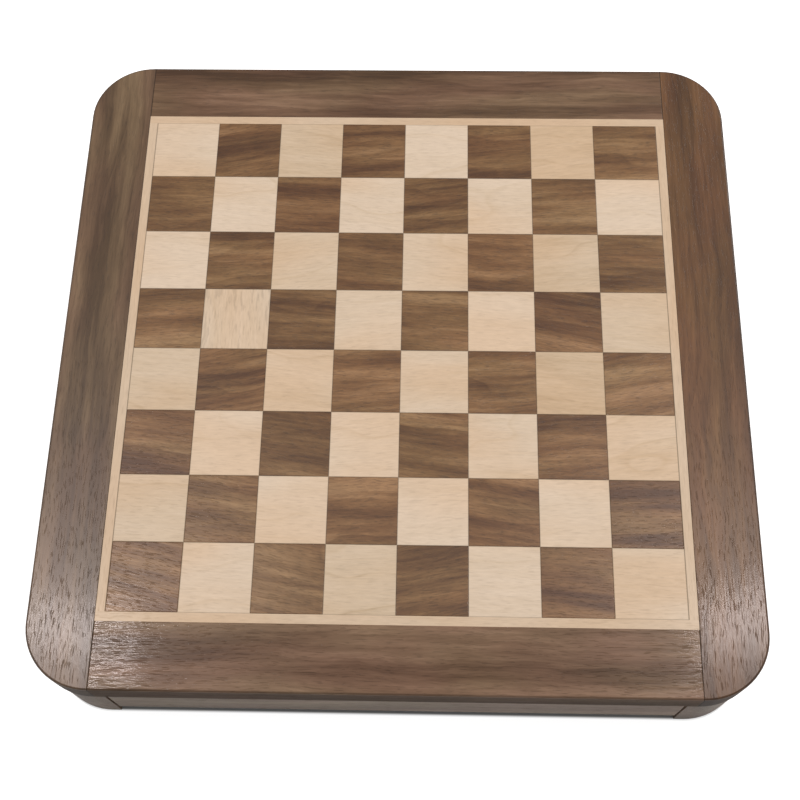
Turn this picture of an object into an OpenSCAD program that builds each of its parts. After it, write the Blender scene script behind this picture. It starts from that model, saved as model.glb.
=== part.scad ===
// Chess box with two drawers: a framed and inlaid playing board on a low drawer case.
// Millimetres. +Z is up, -Y is the front, and the origin is the centre of the underside.

/* [Chequer] */
// Side of one chess square
square_side = 30; // [25:1:40]
// Thickness of the square tiles and border strips
tile_t = 3; // [2:0.5:4]
// Width of the pale strip round the squares
border_w = 4; // [2:0.5:8]
// Thickness of the panel that carries the tiles
panel_t = 6; // [4:0.5:7]

/* [Top frame] */
// Width of the four frame boards
frame_w = 28.5; // [26:0.5:40]
// Thickness of the frame boards
frame_t = 15; // [13:0.5:18]
// Radius of the rounded corners in plan
corner_r = 28; // [16:1:28]
// Radius of the eased arrises along the frame's outer edges
arris_r = 1; // [0.5:0.25:4]
// Depth of the groove that holds the panel's edge
panel_groove = 5; // [3:0.5:7]
// Length of the stub tenons on the front and back boards
tenon_len = 10; // [6:0.5:14]
// Thickness of the stub tenons
tenon_t = 5; // [3:0.5:6]
// Wood left between a tenon and the board's inner edge
tenon_inner = 7.5; // [7:0.5:9]
// Wood left between a tenon and the board's outer edge
tenon_outer = 9; // [8:0.5:10]

/* [Case] */
// Clear height of the drawer openings
opening_h = 27; // [26:0.5:45]
// Thickness of the bottom panel
bottom_t = 5; // [4:0.5:6]
// Lift of the bottom panel off the table
bottom_lift = 3; // [1:0.5:5]
// How far the bottom panel stops short of the front and back faces
finger_depth = 10; // [8:0.5:12]
// Width of each side rail
rail_w = 32; // [30:0.5:40]
// How far the case stands in from the widest line of the top
case_inset = 0.5; // [0:0.5:2]
// Width of the rebate that holds the bottom panel
rebate_w = 8; // [8:0.5:12]
// Thickness of the partition between the drawers
partition_t = 12; // [10:0.5:16]
// Depth of the housings for the partition's ends
housing_depth = 4; // [2:0.5:6]

/* [Drawers] */
// Gap at each side of a drawer
side_gap = 0.6; // [0.3:0.1:1]
// Gap above a drawer's face
top_gap = 0.6; // [0.3:0.1:1]
// Running gap under a drawer
run_gap = 0.3; // [0.2:0.1:0.6]
// Gap between a closed drawer and the partition
back_gap = 1; // [0.5:0.5:3]
// Thickness of a drawer's face
face_t = 12; // [11:0.5:16]
// Solid wood in front of the rebates that take the tray's sides
face_lap = 5; // [4:0.5:6]
// Thickness of the tray's sides and back
wall_t = 6; // [5:0.5:9]
// Height of the tray's sides
wall_h = 24; // [20:0.5:24]
// Thickness of the tray's floor
floor_t = 2.5; // [2:0.5:4]
// Height of the tray's floor above the lower edge of its sides
floor_lift = 1.5; // [1.5:0.5:4]
// Depth of the grooves that hold the tray's floor
floor_groove = 3; // [2:0.5:4]
// Number of fingers in each corner joint at the back
fingers = 5; // [3:2:7]
// Thickness of the felt lining
felt_t = 1; // [0.5:0.5:2]
// Clearance round the felt lining
felt_gap = 0.3; // [0.1:0.1:1]
// Gap between the back's stop lip and the playing panel above it
lip_gap = 1; // [0.5:0.5:2]
// Thickness of the divider
divider_t = 4; // [3:0.5:6]
// Height of the divider above the lining
divider_h = 16; // [10:0.5:16]
// Depth of the housings for the divider's ends
divider_housing = 2; // [1:0.5:3]
// Clear depth of the compartment behind the divider
rear_room = 52; // [40:1:60]
// Radius of the eased edges round a drawer's face
face_round = 1; // [0.5:0.25:2]
// Radius of the finger groove under a drawer's face
pull_r = 3; // [2:0.5:4]
// Length of the finger groove
pull_len = 80; // [40:5:140]

/* [Fasteners] */
// Radius of the dowels between the top frame and the side rails
dowel_r = 3; // [2:0.5:4]
// Depth of a dowel in each part
dowel_depth = 8; // [5:0.5:10]
// Distance from the middle dowel to the outer ones
dowel_pitch = 100; // [60:5:110]
// Distance of the dowels from the frame boards' inner edge
dowel_inset = 14; // [12:0.5:18]
// Radius of the bottom screws' shanks
screw_r = 1.75; // [1.5:0.25:2]
// Radius of the bottom screws' heads
screw_head_r = 3.5; // [3:0.25:3.5]
// Height of the countersunk heads
screw_head_h = 2; // [1.5:0.5:2.5]
// Length of the bottom screws
screw_len = 14; // [12:0.5:20]
// Distance of the inner screw pairs from the centre line
screw_near = 40; // [30:5:60]
// Distance of the outer screw pairs from the centre line
screw_far = 120; // [90:5:125]
// Distance of the partition's screws from the middle
screw_mid = 60; // [30:5:90]
// Radius of the brads in the drawer corners
brad_r = 0.75; // [0.5:0.25:1]
// Length of the brads
brad_len = 14; // [10:0.5:18]
// Height of the lower brads above the tray's lower edge
brad_low = 8; // [8:0.5:9]
// Spacing of the two brads in one corner
brad_pitch = 9; // [6:0.5:10]
// Clearance round dowels, screws and brads in their holes
hole_gap = 0.05; // [0.02:0.01:0.1]

/* [Hidden] */
$fn = 96;

squares = 8;                                    // squares along each side of the board
cut = 1;                                        // how far a cutter runs past the face that it opens

field_half = squares * square_side / 2;         // centre to the edge of the squares
inlay_half = field_half + border_w;             // centre to the frame's inner edge
top_half = inlay_half + frame_w;                // centre to the widest line of the top
case_half = top_half - case_inset;              // centre to the faces of the case
corner_at = top_half - corner_r;                // centre to a corner's axis, along X and Y
opening_half = case_half - rail_w + case_inset; // centre to a side rail's inner face
face_y = -case_half;                            // front face of the case and of the front drawer

floor_z = bottom_lift + bottom_t;               // top of the bottom panel
frame_z = floor_z + opening_h;                  // underside of the top frame
top_z = frame_z + frame_t;                      // playing surface
tile_z = top_z - tile_t;                        // underside of the tiles
panel_z = tile_z - panel_t;                     // underside of the playing panel
tenon_z = frame_z + (frame_t - tenon_t) / 2;    // underside of the tenons

bottom_half_x = opening_half + rebate_w;        // the bottom panel reaches into both rebates
bottom_half_y = case_half - finger_depth;
screw_x = opening_half + rebate_w / 2;
dowel_x = inlay_half + dowel_inset;

tray_z = floor_z + run_gap;                     // lower edge of a drawer
tray_half = opening_half - side_gap;            // half of a drawer's width
room_half = tray_half - wall_t;                 // half of the clear width inside a tray
tray_back_y = -partition_t / 2 - back_gap;      // outer face of the front drawer's back
room_back_y = tray_back_y - wall_t;             // inner face of the back
face_back_y = face_y + face_t;                  // inner face of the drawer's face
lap_y = face_y + face_lap;                      // front end of the tray's sides
tray_floor_z = tray_z + floor_lift;
lining_z = tray_floor_z + floor_t;
divider_z = lining_z + felt_t;
divider_y = room_back_y - rear_room - divider_t / 2;
brad_y = (lap_y + face_back_y) / 2;

walnut = "#6f5140";
dark_wood = "#7d5f46";
pale_wood = "#e0c39d";
plywood = "#b08d5e";
felt_green = "#2f5d43";
steel = "#b9bcc0";
brass = "#c2a25a";

// A box given by its lowest and highest corners.
module block(low, high) {
  translate(low) cube(high - low);
}

// The front drawer's pieces serve the rear drawer, turned half a turn about the box's centre.
module at_rear() {
  rotate([0, 0, 180]) children();
}

// A copy on each side of the plane x = 0.
module both_sides() {
  children();
  mirror([1, 0, 0]) children();
}

// ---- Playing board ----

// Every second square of one rank. Rank 1 is the front one, and its first square on the left is dark.
module rank_of(rank, colour) {
  for (column = [1 : squares])
    if ((column + rank + colour) % 2 == 0)
      translate([(column - 1) * square_side - field_half, (rank - 1) * square_side - field_half, tile_z])
        cube([square_side, square_side, tile_t]);
}

module dark_rank(rank) {
  color(dark_wood) rank_of(rank, 0);
}

module light_rank(rank) {
  color(pale_wood) rank_of(rank, 1);
}

// The front and back strips run the full width, and the side strips fit between them.
module border_front() {
  color(pale_wood)
    block([-inlay_half, -inlay_half, tile_z], [inlay_half, -field_half, top_z]);
}

module border_back() {
  mirror([0, 1, 0]) border_front();
}

module border_left() {
  color(pale_wood)
    block([-inlay_half, -field_half, tile_z], [-field_half, field_half, top_z]);
}

module border_right() {
  mirror([1, 0, 0]) border_left();
}

module playing_panel() {
  reach = inlay_half + panel_groove;
  color(plywood) block([-reach, -reach, panel_z], [reach, reach, tile_z]);
}

// ---- Top frame ----

// Section of the top from its centre plane out to half_width, with both arrises of the edge eased.
module edge_section(half_width) {
  arris_x = half_width - arris_r;
  arris_y = frame_t / 2 - arris_r;
  translate([0, -frame_t / 2]) square([arris_x, frame_t]);
  translate([0, -arris_y]) square([half_width, 2 * arris_y]);
  for (y = [-arris_y, arris_y]) translate([arris_x, y]) circle(arris_r);
}

// One slab of the top's blank, with eased edges towards +X and -X, between the corner axes.
module eased_slab() {
  rotate([90, 0, 0]) linear_extrude(2 * corner_at, center = true) {
    edge_section(top_half);
    mirror([1, 0]) edge_section(top_half);
  }
}

// The corner's own round, with the same eased edge turned about its axis.
module corner_round() {
  rotate_extrude() edge_section(corner_r);
}

// The whole top as one blank, before it is parted into boards.
module top_blank() {
  translate([0, 0, frame_z + frame_t / 2]) {
    eased_slab();
    rotate([0, 0, 90]) eased_slab();
    for (x = [-1, 1], y = [-1, 1])
      translate([x * corner_at, y * corner_at, 0]) corner_round();
  }
}

// Groove for the panel's edge, right round the frame's inner edge.
module panel_space() {
  reach = inlay_half + panel_groove;
  block([-reach, -reach, panel_z], [reach, reach, tile_z]);
}

// The front board's tenon at its left end, grown by a clearance for the mortise.
module tenon(length) {
  block([-inlay_half - length, -top_half + tenon_outer, tenon_z],
        [-inlay_half, -inlay_half - tenon_inner, tenon_z + tenon_t]);
}

module dowel_holes() {
  for (y = [-1, 0, 1])
    translate([-dowel_x, y * dowel_pitch, frame_z])
      cylinder(h = 2 * dowel_depth, r = dowel_r + hole_gap, center = true);
}

module frame_left() {
  color(walnut) difference() {
    intersection() {
      top_blank();
      block([-top_half - cut, -top_half - cut, frame_z - cut],
            [-inlay_half, top_half + cut, top_z + cut]);
    }
    panel_space();
    tenon(tenon_len);
    mirror([0, 1, 0]) tenon(tenon_len);
    dowel_holes();
  }
}

module frame_right() {
  mirror([1, 0, 0]) frame_left();
}

module frame_front() {
  color(walnut) {
    difference() {
      intersection() {
        top_blank();
        block([-inlay_half, -top_half - cut, frame_z - cut],
              [inlay_half, -inlay_half, top_z + cut]);
      }
      panel_space();
    }
    both_sides() tenon(tenon_len);
  }
}

module frame_back() {
  mirror([0, 1, 0]) frame_front();
}

module frame_dowels() {
  color(pale_wood)
    for (x = [-1, 1], y = [-1, 0, 1])
      translate([x * dowel_x, y * dowel_pitch, frame_z])
        cylinder(h = 2 * dowel_depth, r = dowel_r, center = true);
}

// ---- Drawer case ----

// Plan of the case: a square with round corners about the same axes as the top's.
module case_plan() {
  square([2 * case_half, 2 * corner_at], center = true);
  square([2 * corner_at, 2 * case_half], center = true);
  for (x = [-1, 1], y = [-1, 1])
    translate([x * corner_at, y * corner_at]) circle(corner_r - case_inset);
}

// One place for each screw: two pairs along each side rail and one pair in the partition.
function screw_places() = concat(
  [for (x = [-screw_x, screw_x], y = [-screw_far, -screw_near, screw_near, screw_far]) [x, y]],
  [for (x = [-screw_mid, screw_mid]) [x, 0]]
);

module screw_shape(gap) {
  tip_h = 2 * screw_r;
  rotate_extrude() polygon([
    [0, 0], [screw_head_r + gap, 0], [screw_r + gap, screw_head_h],
    [screw_r + gap, screw_len - tip_h], [0, screw_len + gap]
  ]);
}

module screws(gap) {
  for (place = screw_places())
    translate([place[0], place[1], bottom_lift]) screw_shape(gap);
}

module side_rail_left() {
  color(walnut) difference() {
    intersection() {
      linear_extrude(frame_z) case_plan();
      block([-case_half - cut, -case_half - cut, -cut], [-opening_half, case_half + cut, frame_z + cut]);
    }
    block([-bottom_half_x, -bottom_half_y, -cut], [-opening_half + cut, bottom_half_y, floor_z]);
    block([-opening_half - housing_depth, -partition_t / 2, floor_z - cut],
          [-opening_half + cut, partition_t / 2, frame_z + cut]);
    dowel_holes();
    screws(hole_gap);
  }
}

module side_rail_right() {
  mirror([1, 0, 0]) side_rail_left();
}

module partition() {
  reach = opening_half + housing_depth;
  color(walnut) difference() {
    union() {
      block([-reach, -partition_t / 2, floor_z], [reach, partition_t / 2, frame_z]);
      block([-opening_half, -partition_t / 2, floor_z], [opening_half, partition_t / 2, panel_z]);
    }
    screws(hole_gap);
  }
}

module bottom_panel() {
  color(plywood) difference() {
    block([-bottom_half_x, -bottom_half_y, bottom_lift], [bottom_half_x, bottom_half_y, floor_z]);
    screws(hole_gap);
  }
}

module bottom_screws() {
  color(steel) screws(0);
}

// ---- Drawers ----

// The space of the tray's floor, with its edges in the grooves all round.
module drawer_floor_space() {
  reach = room_half + floor_groove;
  block([-reach, face_back_y - floor_groove, tray_floor_z],
        [reach, room_back_y + floor_groove, tray_floor_z + floor_t]);
}

// The divider, with its ends in the housings of the tray's sides.
module drawer_divider_space() {
  reach = room_half + divider_housing;
  block([-reach, divider_y - divider_t / 2, divider_z],
        [reach, divider_y + divider_t / 2, divider_z + divider_h]);
}

module brads(gap) {
  both_sides()
    for (z = [brad_low, brad_low + brad_pitch])
      translate([-tray_half, brad_y, tray_z + z]) rotate([0, 90, 0])
        cylinder(h = brad_len + gap, r = brad_r + gap);
}

// A round-ended groove for the fingertips, along the face's lower edge.
module finger_groove() {
  run = pull_len / 2 - pull_r;
  translate([0, face_y + finger_depth / 2, tray_z]) {
    rotate([0, 90, 0]) cylinder(h = 2 * run, r = pull_r, center = true);
    for (x = [-run, run]) translate([x, 0, 0]) sphere(pull_r);
  }
}

// Outline of a drawer's face in plan or in side view, with its two front corners eased.
module eased_outline(half_width, depth) {
  translate([-half_width, face_round]) square([2 * half_width, depth - face_round]);
  translate([face_round - half_width, 0]) square([2 * (half_width - face_round), depth]);
  for (x = [-1, 1]) translate([x * (half_width - face_round), face_round]) circle(face_round);
}

module face_blank() {
  height = frame_z - top_gap - tray_z;
  translate([0, face_y, tray_z]) intersection() {
    linear_extrude(height) eased_outline(tray_half, face_t);
    translate([0, 0, height / 2]) rotate([0, -90, 0])
      linear_extrude(2 * tray_half, center = true) eased_outline(height / 2, face_t);
  }
}

module drawer_face() {
  color(walnut) difference() {
    face_blank();
    both_sides()
      block([-tray_half - cut, lap_y, tray_z - cut], [-room_half, face_back_y + cut, tray_z + wall_h]);
    drawer_floor_space();
    finger_groove();
    brads(hole_gap);
  }
}

// Fingers of a tray's side, or those of its back: phase 0 takes the lowest finger.
module corner_fingers(phase) {
  finger_h = wall_h / fingers;
  for (i = [phase : 2 : fingers - 1])
    block([-tray_half, room_back_y, tray_z + i * finger_h],
          [-room_half, tray_back_y, tray_z + (i + 1) * finger_h]);
}

module drawer_left_side() {
  color(pale_wood) difference() {
    union() {
      block([-tray_half, lap_y, tray_z], [-room_half, room_back_y, tray_z + wall_h]);
      corner_fingers(0);
    }
    drawer_floor_space();
    drawer_divider_space();
    brads(hole_gap);
  }
}

module drawer_right_side() {
  mirror([1, 0, 0]) drawer_left_side();
}

// The back stands taller than the sides. Its lip meets the top frame and stops the drawer.
module drawer_back() {
  color(pale_wood) difference() {
    union() {
      block([-room_half, room_back_y, tray_z], [room_half, tray_back_y, tray_z + wall_h]);
      block([-tray_half, room_back_y, tray_z + wall_h], [tray_half, tray_back_y, panel_z - lip_gap]);
      both_sides() corner_fingers(1);
    }
    drawer_floor_space();
  }
}

module drawer_floor() {
  color(plywood) drawer_floor_space();
}

module drawer_lining() {
  reach = room_half - felt_gap;
  color(felt_green)
    block([-reach, face_back_y + felt_gap, lining_z], [reach, room_back_y - felt_gap, divider_z]);
}

module drawer_divider() {
  color(pale_wood) drawer_divider_space();
}

module drawer_brads() {
  color(brass) brads(0);
}

dark_rank(1);  // dark_rank_1
dark_rank(2);  // dark_rank_2
dark_rank(3);  // dark_rank_3
dark_rank(4);  // dark_rank_4
dark_rank(5);  // dark_rank_5
dark_rank(6);  // dark_rank_6
dark_rank(7);  // dark_rank_7
dark_rank(8);  // dark_rank_8
light_rank(1);  // light_rank_1
light_rank(2);  // light_rank_2
light_rank(3);  // light_rank_3
light_rank(4);  // light_rank_4
light_rank(5);  // light_rank_5
light_rank(6);  // light_rank_6
light_rank(7);  // light_rank_7
light_rank(8);  // light_rank_8
border_front();
border_back();
border_left();
border_right();
playing_panel();
frame_left();
frame_right();
frame_front();
frame_back();
frame_dowels();
side_rail_left();
side_rail_right();
partition();
bottom_panel();
bottom_screws();
drawer_face();  // front_drawer_face
drawer_left_side();  // front_drawer_left_side
drawer_right_side();  // front_drawer_right_side
drawer_back();  // front_drawer_back
drawer_floor();  // front_drawer_floor
drawer_lining();  // front_drawer_lining
drawer_divider();  // front_drawer_divider
drawer_brads();  // front_drawer_brads
at_rear() drawer_face();  // rear_drawer_face
at_rear() drawer_left_side();  // rear_drawer_left_side
at_rear() drawer_right_side();  // rear_drawer_right_side
at_rear() drawer_back();  // rear_drawer_back
at_rear() drawer_floor();  // rear_drawer_floor
at_rear() drawer_lining();  // rear_drawer_lining
at_rear() drawer_divider();  // rear_drawer_divider
at_rear() drawer_brads();  // rear_drawer_brads
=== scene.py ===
import math
import bpy
import numpy as np
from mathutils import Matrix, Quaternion, Vector


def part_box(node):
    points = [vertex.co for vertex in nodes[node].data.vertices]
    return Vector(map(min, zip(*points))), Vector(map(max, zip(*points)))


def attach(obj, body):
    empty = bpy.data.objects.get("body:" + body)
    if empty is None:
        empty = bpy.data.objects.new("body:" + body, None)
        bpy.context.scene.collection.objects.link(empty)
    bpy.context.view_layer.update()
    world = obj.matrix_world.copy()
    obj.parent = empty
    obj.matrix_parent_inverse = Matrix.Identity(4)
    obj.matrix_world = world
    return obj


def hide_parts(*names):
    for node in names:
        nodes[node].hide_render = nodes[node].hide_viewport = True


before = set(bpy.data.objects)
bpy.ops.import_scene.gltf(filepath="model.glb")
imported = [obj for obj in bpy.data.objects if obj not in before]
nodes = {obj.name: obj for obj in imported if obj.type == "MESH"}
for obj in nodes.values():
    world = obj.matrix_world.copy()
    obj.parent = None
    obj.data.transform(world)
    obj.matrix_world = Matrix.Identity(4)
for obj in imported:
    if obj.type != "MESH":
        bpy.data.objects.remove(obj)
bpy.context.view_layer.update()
scene = bpy.context.scene
scene.view_settings.view_transform = "Standard"

mm = 0.001
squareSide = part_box("dark_rank_1")[1].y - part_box("dark_rank_1")[0].y
fieldHalf = -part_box("dark_rank_1")[0].y        # centre to the edge of the squares
inlayHalf = -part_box("border_front")[0].y       # centre to the frame's inner edge
topHalf = -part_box("frame_front")[0].y          # centre to the widest line of the top
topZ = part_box("frame_left")[1].z               # playing surface
print("frame loaded:", len(nodes), "nodes, square", round(squareSide / mm, 2), "mm")

# Place, aim, lens and sensor in millimetres; place and aim count from the middle of the playing surface
cameraView = {
    "place": (12.49, -240.25, 518.18), "aim": (0.02, -24.02, 0.0),
    "roll": 2.404,                             # degrees about the line of sight
    "lens": 57.49, "sensor": 36.0,
    "near": 0.05, "far": 20.0,                 # metres
}


def makeCamera(values):
    data = bpy.data.cameras.new("camera")
    data.lens = values["lens"]
    data.sensor_width = values["sensor"]
    data.clip_start = values["near"]
    data.clip_end = values["far"]
    camera = bpy.data.objects.new("camera", data)
    scene.collection.objects.link(camera)
    middle = Vector((0.0, 0.0, topZ))
    place = middle + Vector(values["place"]) * mm
    sight = middle + Vector(values["aim"]) * mm - place
    turn = Quaternion(sight.normalized(), math.radians(values["roll"]))
    camera.rotation_mode = "QUATERNION"
    camera.rotation_quaternion = turn @ sight.to_track_quat("-Z", "Y")
    camera.location = place
    scene.camera = camera


makeCamera(cameraView)
print("camera set")


# Helpers for node materials; most add nodes to a tree and return the output to go on with
def tint(red, green, blue):
    # screen colour, 0 to 255, to the linear colour that a shader takes, by the sRGB curve
    share = np.array([red, green, blue]) / 255.0
    linear = np.where(share <= 0.04045, share / 12.92, ((share + 0.055) / 1.055) ** 2.4)
    return (*linear.tolist(), 1.0)


def put(tree, kind, inputs=None, **settings):
    node = tree.nodes.new(kind)
    for key, value in settings.items():
        setattr(node, key, value)
    for key, value in (inputs or {}).items():
        socket = node.inputs[key]
        if isinstance(value, bpy.types.NodeSocket):
            tree.links.new(value, socket)
        else:
            socket.default_value = value
    return node


def calc(tree, operation, first, second=0.0, third=0.0, clamp=False):
    inputs = {0: first, 1: second, 2: third}
    return put(tree, "ShaderNodeMath", inputs, operation=operation, use_clamp=clamp).outputs[0]


def vectorCalc(tree, operation, first, second=(0.0, 0.0, 0.0), output="Vector"):
    return put(tree, "ShaderNodeVectorMath", {0: first, 1: second}, operation=operation).outputs[output]


def split(tree, vector):
    return put(tree, "ShaderNodeSeparateXYZ", {0: vector}).outputs


def around(tree, value, reach, middle=1.0):
    # a noise value from 0 to 1, turned into one that swings by reach about middle
    return calc(tree, "MULTIPLY_ADD", calc(tree, "SUBTRACT", value, 0.5), 2.0 * reach, middle)


def noise(tree, vector, scale, detail=2.0, roughness=0.5):
    stretched = vectorCalc(tree, "MULTIPLY", vector, scale)
    inputs = {"Vector": stretched, "Scale": 1.0, "Detail": detail, "Roughness": roughness}
    return put(tree, "ShaderNodeTexNoise", inputs).outputs[0]


def ease(tree, value, low, high, fromValue=0.0, toValue=1.0):
    inputs = {"Value": value, "From Min": low, "From Max": high, "To Min": fromValue, "To Max": toValue}
    return put(tree, "ShaderNodeMapRange", inputs, interpolation_type="SMOOTHSTEP").outputs[0]


def darker(tree, share, depth):
    return calc(tree, "MULTIPLY_ADD", share, -depth, 1.0)


def blendColours(tree, share, first, second, mode="MIX"):
    node = put(tree, "ShaderNodeMix", data_type="RGBA", blend_type=mode, clamp_result=False)
    for index, value in ((0, share), (6, first), (7, second)):
        if isinstance(value, bpy.types.NodeSocket):
            tree.links.new(value, node.inputs[index])
        else:
            node.inputs[index].default_value = value
    return node.outputs[2]


def grey(tree, value):
    return put(tree, "ShaderNodeCombineColor", {0: value, 1: value, 2: value}).outputs[0]


def shaded(tree, colour, light):
    return blendColours(tree, 1.0, colour, grey(tree, light), "MULTIPLY")


def colourRamp(tree, value, stops):
    node = put(tree, "ShaderNodeValToRGB", {0: value})
    ramp = node.color_ramp
    while len(ramp.elements) < len(stops):
        ramp.elements.new(0.5)
    for element, (place, colour) in zip(ramp.elements, stops):
        element.position = place
        element.color = colour
    return node.outputs[0]


def startMaterial(name):
    material = bpy.data.materials.new(name)
    material.use_nodes = True
    tree = material.node_tree
    tree.nodes.clear()
    output = put(tree, "ShaderNodeOutputMaterial")
    shader = put(tree, "ShaderNodeBsdfPrincipled")
    tree.links.new(shader.outputs[0], output.inputs[0])
    return material, tree, shader


def objectPlace(tree):
    return put(tree, "ShaderNodeTexCoord").outputs["Object"]


def facing(tree, axis):
    # 1 where the surface looks along an axis of the object, 0 where it runs along that axis
    normal = split(tree, put(tree, "ShaderNodeTexCoord").outputs["Normal"])
    return calc(tree, "ABSOLUTE", normal[axis])


def dress(node, material):
    data = nodes[node].data
    data.materials.clear()
    data.materials.append(material)


# One look for each kind of wood. Scales are features per metre along, across and through the grain, and
# growth is rings per metre. Bend and warp are how far slow and quick waves push the grain aside. Figure,
# streak and growthLine move the tone between the colour stops; fibre, ripple and pore change the light.
darkWood = {
    "bendScale": (7, 16, 16), "bend": 9.0 * mm, "warpScale": (38, 60, 60), "warp": 3.0 * mm,
    "figureScale": (5.5, 66, 55), "figure": 1.25, "streakScale": (34, 620, 620), "streak": 0.44,
    "growth": 150.0, "growthSwing": 2.0, "growthScale": (9, 34, 34), "growthLine": 0.13, "growthRise": 2.2,
    "hueScale": (14, 60, 60), "warm": (1.025, 0.98, 0.985, 1.0), "cool": (0.985, 1.02, 0.955, 1.0),
    "fibreScale": (110, 1400, 1400), "fibre": 0.24, "rippleScale": (70, 60, 60), "ripple": 0.07,
    "poreScale": (180, 2400, 2400), "poreFrom": 0.60, "poreTo": 0.70, "pore": 0.24,
    "roughness": 0.36, "smudge": 0.04, "coat": 0.12, "coatRoughness": 0.12, "gloss": 0.32, "bump": 0.46,
}
darkSquareWood = {
    **darkWood,
    "bendScale": (12, 20, 20), "bend": 5.0 * mm, "warpScale": (34, 50, 50), "warp": 1.6 * mm,
    "figureScale": (9, 95, 70), "figure": 1.45, "streakScale": (28, 520, 520), "streak": 0.46,
    "growth": 110.0, "growthSwing": 2.2, "growthScale": (12, 34, 34), "growthLine": 0.15, "growthRise": 3.0,
    "hueScale": (16, 60, 60), "warm": (1.03, 0.985, 0.975, 1.0), "cool": (0.99, 1.015, 0.99, 1.0),
    "fibreScale": (230, 1500, 1500), "fibre": 0.46, "rippleScale": (80, 70, 70), "ripple": 0.12,
    "poreScale": (260, 2300, 2300), "poreFrom": 0.58, "poreTo": 0.66, "pore": 0.27,
    "roughness": 0.35, "gloss": 0.42, "bump": 0.30,
}
paleWood = {
    "bendScale": (8, 20, 20), "bend": 7.0 * mm, "warpScale": (40, 70, 70), "warp": 1.6 * mm,
    "figureScale": (12, 90, 70), "figure": 0.38, "streakScale": (60, 800, 800), "streak": 0.30,
    "growth": 55.0, "growthSwing": 1.9, "growthScale": (12, 30, 30), "growthLine": 0.34, "growthRise": 14.0,
    "hueScale": (12, 30, 30), "warm": (0.995, 0.945, 0.90, 1.0), "cool": (1.012, 1.03, 1.06, 1.0),
    "fibreScale": (190, 1300, 1300), "fibre": 0.145, "rippleScale": (90, 70, 70), "ripple": 0.030,
    "poreScale": (200, 1700, 1700), "poreFrom": 0.58, "poreTo": 0.70, "pore": 0.08,
    "roughness": 0.44, "smudge": 0.05, "coat": 0.05, "coatRoughness": 0.15, "gloss": 0.16, "bump": 0.24,
}
caseWood = {**darkWood, "roughness": 0.56, "coat": 0.0, "gloss": 0.14, "bump": 0.30}
rawWood = {**paleWood, "fibre": 0.05, "pore": 0.12, "roughness": 0.62, "coat": 0.0, "gloss": 0.20}

# What all the woods share
woodShape = {
    "ringLean": 0.7,                           # rings met going down into the board for each one across it
    "ringEnd": 0.94,                           # part of a ring at which its dark line starts to fade
    "hueFrom": 0.35, "hueTo": 0.65,
    "relief": 0.12 * mm, "fibreHeight": 0.2, "poreHeight": -0.5, "jointHeight": -1.5,
    "smudgeScale": (22, 22, 22), "poreRoughness": 0.12, "bareRoughness": 0.5,
    "poreDullness": 0.85,                      # share of the lacquer that sinks into an open pore
}


def growthLines(tree, bent, look):
    # The place across the grain, swung by noise, is counted in yearly rings. Each ring darkens slowly
    # to its end and starts again pale, and each has a strength of its own. 0 is pale and 1 is dark.
    parts = split(tree, bent)
    across = calc(tree, "MULTIPLY_ADD", parts[2], woodShape["ringLean"], parts[1])
    swing = around(tree, noise(tree, bent, look["growthScale"]), look["growthSwing"], 0.0)
    count = calc(tree, "MULTIPLY_ADD", across, look["growth"], swing)
    part = calc(tree, "FRACT", count)
    ring = {"W": calc(tree, "FLOOR", count)}
    strength = put(tree, "ShaderNodeTexWhiteNoise", ring, noise_dimensions="1D").outputs["Value"]
    rise = calc(tree, "POWER", part, look["growthRise"])
    line = calc(tree, "MULTIPLY", rise, ease(tree, part, 1.0, woodShape["ringEnd"]))
    return calc(tree, "MULTIPLY", line, strength)


def bendGrain(tree, grain, look):
    # the place, pushed across and through the grain by the sum of a slow and a quick noise
    bend = around(tree, noise(tree, grain, look["bendScale"], detail=1.0), look["bend"] / 2, 0.0)
    warp = around(tree, noise(tree, grain, look["warpScale"]), look["warp"] / 2, 0.0)
    shift = calc(tree, "ADD", bend, warp)
    aside = put(tree, "ShaderNodeCombineXYZ", {1: shift, 2: shift}).outputs[0]
    return vectorCalc(tree, "ADD", grain, aside)


def woodColour(tree, bent, streaks, look, stops, toneShift, hueShift):
    # Broad figure and fine streaks less the growth lines make a tone, and the tone picks a colour from
    # the stops. A slow noise then leans that colour to the warm or to the cool side.
    figure = noise(tree, bent, look["figureScale"], detail=3.0, roughness=0.6)
    figureTone = around(tree, figure, look["figure"] / 2, 0.5)
    tone = calc(tree, "ADD", figureTone, around(tree, streaks, look["streak"] / 2, 0.0))
    tone = calc(tree, "MULTIPLY_ADD", growthLines(tree, bent, look), -look["growthLine"], tone)
    tone = calc(tree, "ADD", tone, toneShift)
    drift = calc(tree, "ADD", noise(tree, bent, look["hueScale"], detail=1.0), hueShift)
    drift = ease(tree, drift, woodShape["hueFrom"], woodShape["hueTo"])
    lean = blendColours(tree, drift, look["cool"], look["warm"])
    return blendColours(tree, 1.0, colourRamp(tree, tone, stops), lean, "MULTIPLY")


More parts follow.
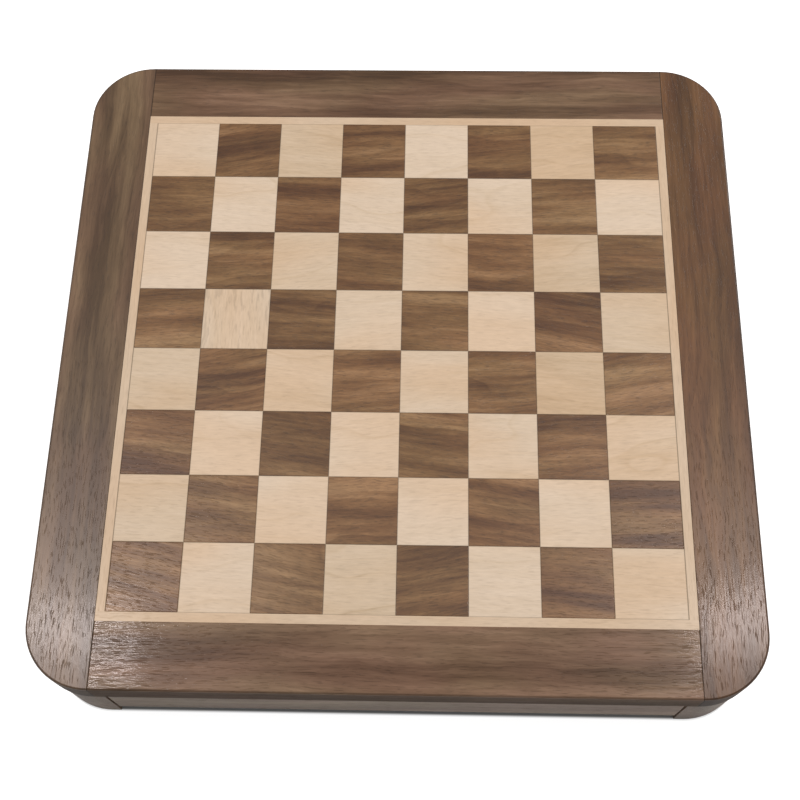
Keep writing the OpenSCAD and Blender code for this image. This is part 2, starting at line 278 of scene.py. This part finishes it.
def woodSurface(tree, shader, grain, look, stops, shading=(), sunk=0.0, bare=0.0,
                toneShift=0.0, hueShift=0.0):
    # grain is a place in metres: along, across and through. Streaks, fibres and pores are noise drawn out
    # along it. Each value in shading multiplies the colour, sunk lowers the surface and bare takes the
    # lacquer off, from 0 to 1. toneShift and hueShift give one piece a brown and a warmth of its own.
    bent = bendGrain(tree, grain, look)
    streaks = noise(tree, bent, look["streakScale"], detail=3.0, roughness=0.65)
    fibres = noise(tree, bent, look["fibreScale"], detail=3.0, roughness=0.65)
    pores = noise(tree, bent, look["poreScale"], detail=1.0, roughness=0.4)
    pores = ease(tree, pores, look["poreFrom"], look["poreTo"])
    ripple = noise(tree, bent, look["rippleScale"], detail=1.0)

    light = around(tree, fibres, look["fibre"])
    for value in (around(tree, ripple, look["ripple"]), darker(tree, pores, look["pore"]), *shading):
        light = calc(tree, "MULTIPLY", light, value)
    colour = woodColour(tree, bent, streaks, look, stops, toneShift, hueShift)
    tree.links.new(shaded(tree, colour, light), shader.inputs["Base Color"])

    height = calc(tree, "MULTIPLY_ADD", fibres, woodShape["fibreHeight"], streaks)
    height = calc(tree, "MULTIPLY_ADD", pores, woodShape["poreHeight"], height)
    height = calc(tree, "MULTIPLY_ADD", sunk, woodShape["jointHeight"], height)
    relief = {"Strength": look["bump"], "Distance": woodShape["relief"], "Height": height}
    bump = put(tree, "ShaderNodeBump", relief).outputs[0]
    tree.links.new(bump, shader.inputs["Normal"])

    rough = around(tree, noise(tree, grain, woodShape["smudgeScale"]), look["smudge"], look["roughness"])
    rough = calc(tree, "MULTIPLY_ADD", pores, woodShape["poreRoughness"], rough)
    rough = calc(tree, "MULTIPLY_ADD", bare, woodShape["bareRoughness"], rough, clamp=True)
    tree.links.new(rough, shader.inputs["Roughness"])
    shader.inputs["Specular IOR Level"].default_value = look["gloss"]
    if look["coat"] > 0.0:
        # lacquer sinks into the open pores and leaves them dull
        sinking = -woodShape["poreDullness"] * look["coat"]
        coat = calc(tree, "MULTIPLY_ADD", pores, sinking, look["coat"])
        coat = calc(tree, "MULTIPLY", coat, darker(tree, bare, 1.0))
        tree.links.new(coat, shader.inputs["Coat Weight"])
        tree.links.new(bump, shader.inputs["Coat Normal"])
        shader.inputs["Coat Roughness"].default_value = look["coatRoughness"]


# The object's axes in the order along, across and through, for a board whose grain runs along each
grainOrder = {"X": (0, 1, 2), "Y": (1, 0, 2), "Z": (2, 0, 1)}
endLook = {"from": 0.70, "to": 0.95, "depth": 0.30}
jointLook = {
    "width": 0.34 * mm, "frameDepth": 0.62,
    "core": 0.3,                               # share of the width that is darkest
}
frameEdge = {
    "cornerRadius": 28.0 * mm, "lineWidth": 1.3 * mm, "depth": 0.42,
    "lineEnd": 0.4,                            # share of the line's width, at the edge, that is darkest
    # the darkening of the upright sides is painted shade
    "sideFrom": 0.5, "sideTo": 0.1, "paintedSideShade": 0.33,
}


def boardGrain(tree, place, along, start):
    # the object's own place, turned so that its first part runs along the grain, then moved to start
    parts = split(tree, place)
    turned = {target: parts[source] for target, source in enumerate(grainOrder[along])}
    return vectorCalc(tree, "ADD", put(tree, "ShaderNodeCombineXYZ", turned).outputs[0], start)


def endGrain(tree, along, depth):
    # the ends of a board drink more finish than its long faces, and turn darker
    ends = facing(tree, grainOrder[along][0])
    return ease(tree, ends, endLook["from"], endLook["to"], 1.0, 1.0 - depth)


def nearLine(tree, value, line, width):
    # 1 on the line, easing to 0 at width from it
    gap = calc(tree, "ABSOLUTE", calc(tree, "SUBTRACT", value, line))
    return ease(tree, gap, width, width * jointLook["core"])


def fromOutline(tree, place, half, radius):
    # how far a place lies outside a square with round corners: 0 on the outline, negative inside
    flat = vectorCalc(tree, "MULTIPLY", place, (1.0, 1.0, 0.0))
    straight = (half - radius, half - radius, 0.0)
    corner = vectorCalc(tree, "SUBTRACT", vectorCalc(tree, "ABSOLUTE", flat), straight)
    past = vectorCalc(tree, "MAXIMUM", corner, (0.0, 0.0, 0.0))
    length = vectorCalc(tree, "LENGTH", past, output="Value")
    parts = split(tree, corner)
    inside = calc(tree, "MINIMUM", calc(tree, "MAXIMUM", parts[0], parts[1]), 0.0)
    return calc(tree, "SUBTRACT", calc(tree, "ADD", length, inside), radius)


def boardWood(name, look, stops, along, start, seam=None, outerEdge=False):
    # seam is an axis number and a distance from the centre at which this board meets its neighbour
    material, tree, shader = startMaterial(name)
    place = objectPlace(tree)
    shading = [endGrain(tree, along, endLook["depth"])]
    sunk = bare = 0.0
    if seam:
        # no lacquer bridges the joint, so it stays dull
        axis, line = seam
        fromCentre = calc(tree, "ABSOLUTE", split(tree, place)[axis])
        sunk = bare = nearLine(tree, fromCentre, line, jointLook["width"])
        shading.append(darker(tree, sunk, jointLook["frameDepth"]))
    if outerEdge:
        outside = fromOutline(tree, place, topHalf, frameEdge["cornerRadius"])
        width = frameEdge["lineWidth"]
        shading.append(darker(tree, ease(tree, outside, -width, -frameEdge["lineEnd"] * width),
                              frameEdge["depth"]))
        # painted shade: the upright sides are darkened in colour, and they are hardly lacquered
        side = ease(tree, facing(tree, 2), frameEdge["sideFrom"], frameEdge["sideTo"])
        shading.append(darker(tree, side, frameEdge["paintedSideShade"]))
        bare = calc(tree, "MAXIMUM", side, bare)
    woodSurface(tree, shader, boardGrain(tree, place, along, start), look, stops, shading, sunk, bare)
    return material


# The squares: their colours, and how far one may differ from the next. Another whole number for deal
# gives all of them new tones, hues and starts.
darkSquareStops = [(0.22, tint(86, 58, 37)), (0.42, tint(111, 80, 51)),
                   (0.58, tint(128, 96, 63)), (0.78, tint(152, 119, 84))]
paleSquareStops = [(0.10, tint(186, 162, 130)), (0.34, tint(206, 184, 155)),
                   (0.50, tint(213, 192, 165)), (0.66, tint(220, 200, 175))]
darkSquareValues = {"deal": 2.0, "tilt": 0.20, "toneRange": 0.07, "hueRange": 0.16, "jointDepth": 0.46}
paleSquareValues = {"deal": 2.0, "tilt": 0.10, "toneRange": 0.17, "hueRange": 0.10, "jointDepth": 0.36}
squareStart = (3.0, 7.0, 5.0)                  # metres of wood that the squares are cut from

# One pale square was cut with its grain across the others', and shows short flecks. Its number is counted
# from the front left square.
crossSquare = {"number": (1.0, 4.0, 0.0), "fleckScale": (130, 700, 700),
               "fleckFrom": 0.53, "fleckTo": 0.66, "fleck": 0.15}


def squareWood(name, look, stops, values):
    # each square is its own piece of wood: the square's number gives it a start, a tilt, a tone and a hue
    material, tree, shader = startMaterial(name)
    place = objectPlace(tree)
    cells = vectorCalc(tree, "ADD", place, (fieldHalf, fieldHalf, 0.0))
    cells = vectorCalc(tree, "DIVIDE", cells, (squareSide, squareSide, 1.0))
    number = vectorCalc(tree, "FLOOR", cells)
    dealt = {"Vector": vectorCalc(tree, "ADD", number, (0.0, 0.0, values["deal"]))}
    chance = put(tree, "ShaderNodeTexWhiteNoise", dealt, noise_dimensions="3D").outputs["Color"]
    parts = split(tree, chance)
    toneShift = around(tree, parts[1], values["toneRange"], 0.0)
    hueShift = around(tree, parts[2], values["hueRange"], 0.0)

    # numbers are whole, so only the cross square lies less than half a step from its own
    apart = vectorCalc(tree, "DISTANCE", number, crossSquare["number"], output="Value")
    isCross = calc(tree, "LESS_THAN", apart, 0.5)
    tilt = around(tree, parts[0], values["tilt"], 0.0)
    turn = {"Vector": place, "Angle": calc(tree, "MULTIPLY_ADD", isCross, math.pi / 2, tilt)}
    turned = put(tree, "ShaderNodeVectorRotate", turn, rotation_type="Z_AXIS").outputs[0]
    grain = vectorCalc(tree, "ADD", turned, vectorCalc(tree, "MULTIPLY", chance, squareStart))

    edges = split(tree, vectorCalc(tree, "FRACTION", cells))
    fromMiddle = [calc(tree, "ABSOLUTE", calc(tree, "SUBTRACT", edges[i], 0.5)) for i in (0, 1)]
    sunk = nearLine(tree, calc(tree, "MAXIMUM", *fromMiddle), 0.5, jointLook["width"] / squareSide)
    flecks = noise(tree, grain, crossSquare["fleckScale"])
    flecks = ease(tree, flecks, crossSquare["fleckFrom"], crossSquare["fleckTo"])
    flecks = calc(tree, "MULTIPLY", flecks, isCross)
    shading = [darker(tree, sunk, values["jointDepth"]), darker(tree, flecks, crossSquare["fleck"])]
    woodSurface(tree, shader, grain, look, stops, shading, sunk, sunk, toneShift, hueShift)
    return material


darkSquares = squareWood("dark_square_wood", darkSquareWood, darkSquareStops, darkSquareValues)
paleSquares = squareWood("pale_square_wood", paleWood, paleSquareStops, paleSquareValues)
for rank in range(1, 9):
    dress(f"dark_rank_{rank}", darkSquares)
    dress(f"light_rank_{rank}", paleSquares)

borderStops = [(0.10, tint(193, 166, 134)), (0.34, tint(207, 183, 154)), (0.66, tint(215, 193, 166))]
borderX = boardWood("border_wood_x", paleWood, borderStops, "X", (1.3, 0.4, 0.2))
borderY = boardWood("border_wood_y", paleWood, borderStops, "Y", (2.3, 0.7, 0.9), seam=(0, fieldHalf))
dress("border_front", borderX)
dress("border_back", borderX)
dress("border_left", borderY)
dress("border_right", borderY)

# The four frame boards: where each starts in the wood, its own brown, and how its lacquer has dried
frameBoards = {
    "left": {"along": "Y", "start": (0.4, 0.93, 0.1), "middle": (109, 86, 64), "spread": 0.19,
             "finish": {"gloss": 0.46, "coat": 0.08}},
    "right": {"along": "Y", "start": (2.2, 2.9, 0.6), "middle": (101, 70, 43), "spread": 0.18,
              "finish": {"gloss": 0.39, "coat": 0.12}},
    "front": {"along": "X", "start": (3.1, 0.3, 0.5), "middle": (115, 90, 71), "spread": 0.18,
              "finish": {"gloss": 0.15, "roughness": 0.30, "coat": 0.13, "coatRoughness": 0.08,
                         "bump": 0.60}},
    "back": {"along": "X", "start": (4.04, 1.4, 0.8), "middle": (110, 85, 65), "spread": 0.23,
             "finish": {"gloss": 0.30, "coat": 0.05}},
}
# Four tones about a middle brown. The powers, for red, green and blue, leave the dark tones redder and
# the light ones greyer.
brownShape = {"steps": (-1.5, -0.5, 0.4, 1.4), "places": (0.28, 0.44, 0.58, 0.74),
              "powers": (0.85, 1.0, 1.15)}


def brownStops(middle, spread):
    # each tone is the middle screen colour times a share: one plus a step of the spread, to the power
    # that belongs to the channel
    stops = []
    for place, step in zip(brownShape["places"], brownShape["steps"]):
        share = (1.0 + step * spread) ** np.array(brownShape["powers"])
        stops.append((place, tint(*(np.array(middle) * share))))
    return stops


for side, board in frameBoards.items():
    stops = brownStops(board["middle"], board["spread"])
    look = {**darkWood, **board["finish"]}
    wood = boardWood(f"frame_wood_{side}", look, stops, board["along"], board["start"],
                     seam=(0, inlayHalf), outerEdge=True)
    dress(f"frame_{side}", wood)

caseStops = brownStops((114, 97, 82), 0.13)
drawerStops = [(0.30, tint(196, 163, 121)), (0.50, tint(208, 177, 136)), (0.70, tint(218, 190, 150))]
panelStops = [(0.30, tint(172, 138, 97)), (0.50, tint(186, 154, 111)), (0.70, tint(196, 166, 124))]

for side, start in (("left", (5.0, 0.2, 0.7)), ("right", (6.0, 0.8, 0.3))):
    dress(f"side_rail_{side}", boardWood(f"rail_wood_{side}", caseWood, caseStops, "Y", start))
dress("partition", boardWood("partition_wood", caseWood, caseStops, "X", (7.0, 0.5, 0.5)))
dress("frame_dowels", boardWood("dowel_wood", rawWood, drawerStops, "Z", (3.3, 0.4, 0.6)))

drawerAlongX = boardWood("drawer_wood_x", rawWood, drawerStops, "X", (8.0, 0.1, 0.9))
drawerAlongY = boardWood("drawer_wood_y", rawWood, drawerStops, "Y", (9.0, 0.6, 0.1))
for number, drawer in enumerate(("front_drawer", "rear_drawer")):
    start = (11.0 + number, 0.2, 0.4)
    dress(f"{drawer}_face", boardWood(f"{drawer}_face_wood", caseWood, caseStops, "X", start))
    dress(f"{drawer}_left_side", drawerAlongY)
    dress(f"{drawer}_right_side", drawerAlongY)
    dress(f"{drawer}_back", drawerAlongX)
    dress(f"{drawer}_divider", drawerAlongX)

# Plies in each panel; the outer ones on both sides run the same way, so the count is odd
panelPlies = {"playing_panel": 5, "bottom_panel": 3, "front_drawer_floor": 3, "rear_drawer_floor": 3}
plyLook = {"blend": 0.25, "shade": 0.74, "endDepth": 0.12}


def plyWood(name, look, stops, along, start, low, layer):
    # Thin layers glued crosswise show at the edges as lines of two tones. The tone is a sine of the
    # height above low, one turn for two layers, eased into bands.
    material, tree, shader = startMaterial(name)
    place = objectPlace(tree)
    turns = calc(tree, "DIVIDE", calc(tree, "SUBTRACT", split(tree, place)[2], low), 2.0 * layer)
    wave = calc(tree, "SINE", calc(tree, "MULTIPLY", turns, 2.0 * math.pi))
    bands = ease(tree, wave, -plyLook["blend"], plyLook["blend"], plyLook["shade"], 1.0)
    shading = [endGrain(tree, along, plyLook["endDepth"]), bands]
    woodSurface(tree, shader, boardGrain(tree, place, along, start), look, stops, shading)
    return material


for number, (panel, plies) in enumerate(panelPlies.items()):
    low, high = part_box(panel)
    layer = (high.z - low.z) / plies
    wood = plyWood(f"{panel}_ply", rawWood, panelStops, "X", (10.0 + number, 0.3, 0.3), low.z, layer)
    dress(panel, wood)
print("wood dressed")

# Metals: fine marks change the roughness, and slow patches the tone
screwMetal = {"colour": tint(196, 198, 200), "roughness": 0.30, "marks": 0.10}
bradMetal = {"colour": tint(206, 172, 104), "roughness": 0.34, "marks": 0.12}
metalShape = {"markScale": (900, 900, 900), "patchScale": (260, 260, 260), "patch": 0.08,
              "bump": 0.08, "relief": 0.05 * mm}


def metalSurface(name, values):
    material, tree, shader = startMaterial(name)
    place = objectPlace(tree)
    marks = noise(tree, place, metalShape["markScale"], detail=3.0, roughness=0.6)
    tree.links.new(around(tree, marks, values["marks"], values["roughness"]), shader.inputs["Roughness"])
    patch = around(tree, noise(tree, place, metalShape["patchScale"]), metalShape["patch"])
    tree.links.new(shaded(tree, values["colour"], patch), shader.inputs["Base Color"])
    relief = {"Strength": metalShape["bump"], "Distance": metalShape["relief"], "Height": marks}
    tree.links.new(put(tree, "ShaderNodeBump", relief).outputs[0], shader.inputs["Normal"])
    shader.inputs["Metallic"].default_value = 1.0
    return material


bradBrass = metalSurface("brad_brass", bradMetal)
for drawer in ("front_drawer", "rear_drawer"):
    dress(f"{drawer}_brads", bradBrass)
screwSteel = metalSurface("screw_steel", screwMetal)


# New pieces are surfaces on grids of points
def gridFaces(rows, columns, closed):
    # four-sided faces between the rows of a grid; closed joins the last column to the first
    across = np.arange(columns if closed else columns - 1)
    down = np.arange(rows - 1)[:, None]
    following = (across + 1) % columns
    corners = [down * columns + across, down * columns + following,
               (down + 1) * columns + following, (down + 1) * columns + across]
    return np.stack(corners, axis=-1).reshape(-1, 4)


def meshPiece(name, points, faces, material, body):
    mesh = bpy.data.meshes.new(name)
    mesh.from_pydata(points.tolist(), [], faces)
    mesh.validate()
    mesh.shade_smooth()
    mesh.materials.append(material)
    piece = bpy.data.objects.new(name, mesh)
    scene.collection.objects.link(piece)
    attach(piece, body)
    return piece


# Lengths in millimetres. The screws stand on their heads, with the recess in the underside.
screwShape = {
    "headRadius": 3.5, "headHeight": 2.0, "shankRadius": 1.75, "rootRadius": 1.25, "length": 14.0,
    "recessDepth": 1.3, "recessReach": 2.1, "recessWidth": 0.55,
    "recessWall": 0.18, "recessFade": 0.9,     # over which the recess rises to its sides and to its ends
    "pitch": 1.3, "ridge": 0.28,               # the ridge's half width is a share of the pitch
    "sides": 40, "headRings": 20, "coneRings": 4, "shankRings": 84,
    "innerRing": 0.02, "shankGap": 0.1, "pointShare": 0.01,
    "nearPair": 40.0, "farPair": 120.0, "middlePair": 60.0,
    "turnStep": 0.7,                           # radians from one screw to the next
}


def ringPoints(radius, turn, height):
    # points about the middle line; radius and height may change from ring to ring and with the turn
    return np.stack(np.broadcast_arrays(radius * np.cos(turn), radius * np.sin(turn), height), axis=-1)


def screwSurface(shape):
    # Rings from the middle of the head, out to its rim and up to the point. In the head the height is a
    # cross of two slots that fade out towards the rim; on the shank the radius is a ridge whose place
    # rises by one pitch for each turn.
    turn = np.linspace(0.0, 2.0 * np.pi, shape["sides"], endpoint=False)[None, :]
    headRing = np.linspace(shape["innerRing"], shape["headRadius"], shape["headRings"])[:, None]
    slotGap = np.minimum(np.abs(headRing * np.cos(turn)), np.abs(headRing * np.sin(turn)))
    slot = np.clip((shape["recessWidth"] - slotGap) / shape["recessWall"], 0.0, 1.0)
    fade = np.clip((shape["recessReach"] - headRing) / shape["recessFade"], 0.0, 1.0)
    head = ringPoints(headRing, turn, shape["recessDepth"] * slot * fade)

    rise = np.linspace(0.0, 1.0, shape["coneRings"] + 1)[1:, None]
    coneRadius = shape["headRadius"] + (shape["rootRadius"] - shape["headRadius"]) * rise
    cone = ringPoints(coneRadius, turn, shape["headHeight"] * rise)

    shankStart = shape["headHeight"] + shape["shankGap"]
    along = np.linspace(shankStart, shape["length"], shape["shankRings"])[:, None]
    phase = (along / shape["pitch"] - turn / (2.0 * np.pi)) % 1.0
    ridge = np.clip(1.0 - np.abs(phase - 0.5) / shape["ridge"], 0.0, 1.0)
    taper = np.clip((shape["length"] - along) / (2.0 * shape["shankRadius"]), shape["pointShare"], 1.0)
    radius = (shape["rootRadius"] + (shape["shankRadius"] - shape["rootRadius"]) * ridge) * taper
    shank = ringPoints(radius, turn, along)

    rings = np.concatenate([head, cone, shank])
    rows, sides = rings.shape[:2]
    ends = np.array([[0.0, 0.0, shape["recessDepth"]], [0.0, 0.0, shape["length"]]])
    points = np.concatenate([rings.reshape(-1, 3), ends])
    # a fan of triangles closes each end: the middle of the head, and the point
    count = rows * sides
    ring = np.arange(sides)
    following = (ring + 1) % sides
    last = count - sides
    headFan = np.stack([np.full(sides, count), following, ring], axis=-1)
    pointFan = np.stack([np.full(sides, count + 1), last + ring, last + following], axis=-1)
    return points, gridFaces(rows, sides, True), np.concatenate([headFan, pointFan])


def makeScrews(shape):
    # ten copies of one screw, each driven to a turn of its own
    points, faces, fans = screwSurface(shape)
    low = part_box("bottom_screws")[0]
    screwX = -low.x / mm - shape["headRadius"]
    rowY = np.array([-shape["farPair"], -shape["nearPair"], shape["nearPair"], shape["farPair"]])
    sideX = np.repeat([-screwX, screwX], len(rowY))
    x = np.concatenate([sideX, [-shape["middlePair"], shape["middlePair"]]])
    y = np.concatenate([np.tile(rowY, 2), [0.0, 0.0]])
    heads = np.stack([x, y, np.full(len(x), low.z / mm)], axis=-1)
    turn = shape["turnStep"] * np.arange(len(x))
    cosine, sine, none = np.cos(turn), np.sin(turn), np.zeros(len(x))
    cells = [cosine, -sine, none, sine, cosine, none, none, none, none + 1.0]
    spin = np.stack(cells, axis=-1).reshape(-1, 3, 3)
    placed = np.einsum("nij,pj->npi", spin, points) + heads[:, None, :]
    starts = len(points) * np.arange(len(x))[:, None, None]
    allFaces = (faces + starts).reshape(-1, 4).tolist() + (fans + starts).reshape(-1, 3).tolist()
    piece = meshPiece("screws", placed.reshape(-1, 3) * mm, allFaces, screwSteel, "case")
    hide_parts("bottom_screws")


makeScrews(screwShape)
print("screws made")

feltLook = {
    "colour": tint(44, 92, 64), "fleck": tint(70, 120, 88),
    "fleckScale": (1500, 1500, 1500), "fleckFrom": 0.42, "fleckTo": 0.66,
    "patchScale": (60, 60, 60), "patch": 0.10,
    "tuftScale": (900, 900, 900), "bump": 0.55, "relief": 0.25 * mm,
    "roughness": 0.95, "sheen": 0.35, "gloss": 0.1,
}
feltShape = {
    "columns": 150, "rows": 90, "edgeRound": 0.7 * mm, "edgeDrop": 0.35 * mm,
    "clear": 0.02 * mm,                        # kept free under the lining's top
    "wave": 0.10 * mm, "waveX": 31.0 * mm, "waveY": 23.0 * mm, "waveLean": 70.0 * mm, "waveStart": 1.7,
}


def feltSurface(values):
    # short pressed wool: fine flecks in two greens, with tufts at several sizes in the bump
    material, tree, shader = startMaterial("felt_green")
    place = objectPlace(tree)
    fleck = noise(tree, place, values["fleckScale"], detail=3.0, roughness=0.7)
    fleck = ease(tree, fleck, values["fleckFrom"], values["fleckTo"])
    patch = around(tree, noise(tree, place, values["patchScale"]), values["patch"])
    colour = blendColours(tree, fleck, values["colour"], values["fleck"])
    tree.links.new(shaded(tree, colour, patch), shader.inputs["Base Color"])
    tufts = noise(tree, place, values["tuftScale"], detail=4.0, roughness=0.75)
    relief = {"Strength": values["bump"], "Distance": values["relief"], "Height": tufts}
    tree.links.new(put(tree, "ShaderNodeBump", relief).outputs[0], shader.inputs["Normal"])
    shader.inputs["Roughness"].default_value = values["roughness"]
    shader.inputs["Sheen Weight"].default_value = values["sheen"]
    shader.inputs["Specular IOR Level"].default_value = values["gloss"]
    return material


feltGreen = feltSurface(feltLook)


def makeFelt(drawer, shape, turnSign):
    # A sheet cut to the tray's floor. Its upper side is the lining's top less a slow wave, and it falls
    # away to a soft edge by an exponential of the distance from the nearest side. turnSign is 1 or -1,
    # and lets the second sheet's wave run the other way.
    low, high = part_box(f"{drawer}_lining")
    columns, rows = shape["columns"], shape["rows"]
    x = np.linspace(low.x, high.x, columns)[None, :] + np.zeros((rows, 1))
    y = np.linspace(low.y, high.y, rows)[:, None] + np.zeros((1, columns))
    fromSide = np.minimum(np.minimum(x - low.x, high.x - x), np.minimum(y - low.y, high.y - y))
    across = np.sin(turnSign * x / shape["waveX"] + shape["waveStart"])
    down = np.cos(y / shape["waveY"] + turnSign * x / shape["waveLean"])
    wave = 0.5 + 0.25 * (across + down)
    drop = shape["edgeDrop"] * np.exp(-fromSide / shape["edgeRound"])
    top = high.z - shape["clear"] - shape["wave"] * wave - drop
    upper = np.stack([x, y, top], axis=-1).reshape(-1, 3)
    lower = np.stack([x, y, np.full_like(x, low.z)], axis=-1).reshape(-1, 3)
    topFaces = gridFaces(rows, columns, False)
    lowFaces = topFaces[:, ::-1] + len(upper)
    index = np.arange(rows * columns).reshape(rows, columns)
    rim = np.concatenate([index[0, :-1], index[:-1, -1], index[-1, :0:-1], index[:0:-1, 0]])
    nextRim = np.roll(rim, -1)
    sideFaces = np.stack([rim, rim + len(upper), nextRim + len(upper), nextRim], axis=-1)
    faces = np.concatenate([topFaces, lowFaces, sideFaces]).tolist()
    piece = meshPiece(f"{drawer}_felt", np.concatenate([upper, lower]), faces, feltGreen, drawer)
    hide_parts(f"{drawer}_lining")


makeFelt("front_drawer", feltShape, 1.0)
makeFelt("rear_drawer", feltShape, -1.0)
print("felt laid")

# The stage, in metres: a white floor with painted shade only where the box stands on it, and three lamps
stageLook = {
    # the floor's colour under the box is painted shade
    "floorSize": 6.0, "floorRoughness": 0.9, "floorGlow": 0.80, "floorWhite": 0.8, "paintedShadeUnderBox": 0.3,
    "contact": 1.2 * mm, "fade": 1.6 * mm, "world": 0.44, "white": (1.0, 1.0, 1.0, 1.0),
}
lamps = {
    "left": {"place": (-0.414, 0.080, 1.02), "aim": (0.0, 0.0, 0.0), "size": (0.05, 0.17), "power": 2.9,
             "colour": (1.0, 0.91, 0.89)},
    "right": {"place": (0.420, 0.12, 1.05), "aim": (0.0, 0.0, 0.0), "size": (0.07, 0.18), "power": 2.8,
              "colour": (1.0, 0.90, 0.87)},
    "back": {"place": (1.50, 1.30, 1.40), "aim": (0.0, 0.0, 0.0), "size": (0.80, 0.80), "power": 12.0,
             "colour": (1.0, 0.98, 0.97)},
}


def makeFloor(values):
    corners = values["floorSize"] / 2 * np.array([(-1, -1, 0), (1, -1, 0), (1, 1, 0), (-1, 1, 0)])
    mesh = bpy.data.meshes.new("floor")
    mesh.from_pydata(corners.tolist(), [], [(0, 1, 2, 3)])
    floor = bpy.data.objects.new("floor", mesh)
    scene.collection.objects.link(floor)
    material, tree, shader = startMaterial("floor_white")
    shader.inputs["Roughness"].default_value = values["floorRoughness"]
    path = put(tree, "ShaderNodeLightPath")
    seen = calc(tree, "MAXIMUM", path.outputs["Is Camera Ray"], path.outputs["Is Glossy Ray"])
    seen = calc(tree, "MAXIMUM", seen, path.outputs["Is Transmission Ray"])
    # the floor under the box gives no glow, and its colour is darkened there as painted shade, so the gap
    # beneath the drawers stays dark
    outside = fromOutline(tree, objectPlace(tree), topHalf, frameEdge["cornerRadius"])
    edge = (-values["contact"], values["fade"] - values["contact"])
    glow = calc(tree, "MULTIPLY", seen, ease(tree, outside, *edge))
    glow = calc(tree, "MULTIPLY", glow, values["floorGlow"])
    shader.inputs["Emission Color"].default_value = values["white"]
    tree.links.new(glow, shader.inputs["Emission Strength"])
    # painted shade: the floor's colour darkens from just outside the box's outline to under it
    tone = ease(tree, outside, *edge, values["paintedShadeUnderBox"], values["floorWhite"])
    tree.links.new(grey(tree, tone), shader.inputs["Base Color"])
    mesh.materials.append(material)


def makeLamp(name, values):
    data = bpy.data.lights.new(name, "AREA")
    data.shape = "RECTANGLE"
    data.size, data.size_y = values["size"]
    data.energy = values["power"]
    data.color = values["colour"]
    lamp = bpy.data.objects.new(name, data)
    scene.collection.objects.link(lamp)
    lamp.location = values["place"]
    sight = Vector(values["aim"]) - Vector(values["place"])
    lamp.rotation_mode = "QUATERNION"
    lamp.rotation_quaternion = sight.to_track_quat("-Z", "Y")


def makeWorld(values):
    # the camera sees plain white, and the object is lit by a dimmer one
    world = bpy.data.worlds.new("world")
    world.use_nodes = True
    scene.world = world
    tree = world.node_tree
    tree.nodes.clear()
    path = put(tree, "ShaderNodeLightPath")
    strength = calc(tree, "MAXIMUM", path.outputs["Is Camera Ray"], values["world"])
    background = put(tree, "ShaderNodeBackground", {"Color": values["white"], "Strength": strength})
    output = put(tree, "ShaderNodeOutputWorld")
    tree.links.new(background.outputs[0], output.inputs[0])


makeFloor(stageLook)
makeWorld(stageLook)
for name, values in lamps.items():
    makeLamp(f"lamp_{name}", values)
print("stage set")
